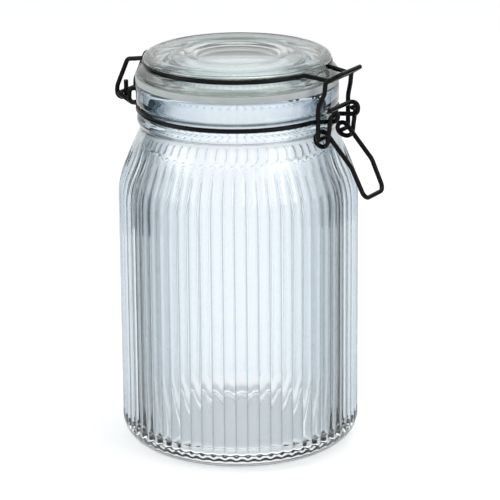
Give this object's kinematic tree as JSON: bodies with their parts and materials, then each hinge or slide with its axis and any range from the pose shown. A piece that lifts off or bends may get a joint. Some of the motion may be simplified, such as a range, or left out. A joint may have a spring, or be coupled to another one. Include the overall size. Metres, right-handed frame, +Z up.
{
  "type": "clip-top glass storage jar",
  "caption": "Tall ribbed clear-glass storage jar with a hinged glass lid on a rubber ring, shut by a black wire lever and latch.",
  "frame": {"origin": "centre of the flat foot, on the surface that the jar stands on", "axes": "+Z up through the lid, +X towards the lever and latch, -X towards the lid's hinge"},
  "size_m": [0.1453, 0.12, 0.1992],
  "materials": {
    "clear_glass": "clear, polished, faint blue-green tint",
    "seal_rubber": "matte, grey-green",
    "black_wire": "satin black coated steel wire"
  },
  "bodies": {
    "root": {"jar_glass": "clear_glass", "neck_ring": "black_wire"},
    "lid": {"lid_glass": "clear_glass", "gasket": "seal_rubber", "lid_wire": "black_wire"},
    "lever": {"lever": "black_wire"},
    "latch": {"latch": "black_wire"}
  },
  "joints": [
    {"name": "lid_hinge", "type": "hinge", "parent": "root", "child": "lid", "pos_m": [-0.0631, 0, 0.1732], "axis": [0, -1, 0], "range_deg": [0, 165]},
    {"name": "lever_hinge", "type": "hinge", "parent": "root", "child": "lever", "pos_m": [0.0598, 0, 0.1764], "axis": [0, -1, 0], "range_deg": [0, 110]},
    {"name": "latch_hinge", "type": "hinge", "parent": "lever", "child": "latch", "pos_m": [0.0542, 0, 0.1646], "axis": [0, -1, 0], "range_deg": [-110, 0]}
  ],
  "couplings": [
    {"joint": "latch_hinge", "follows": "lever_hinge", "ratio": -1}
  ]
}
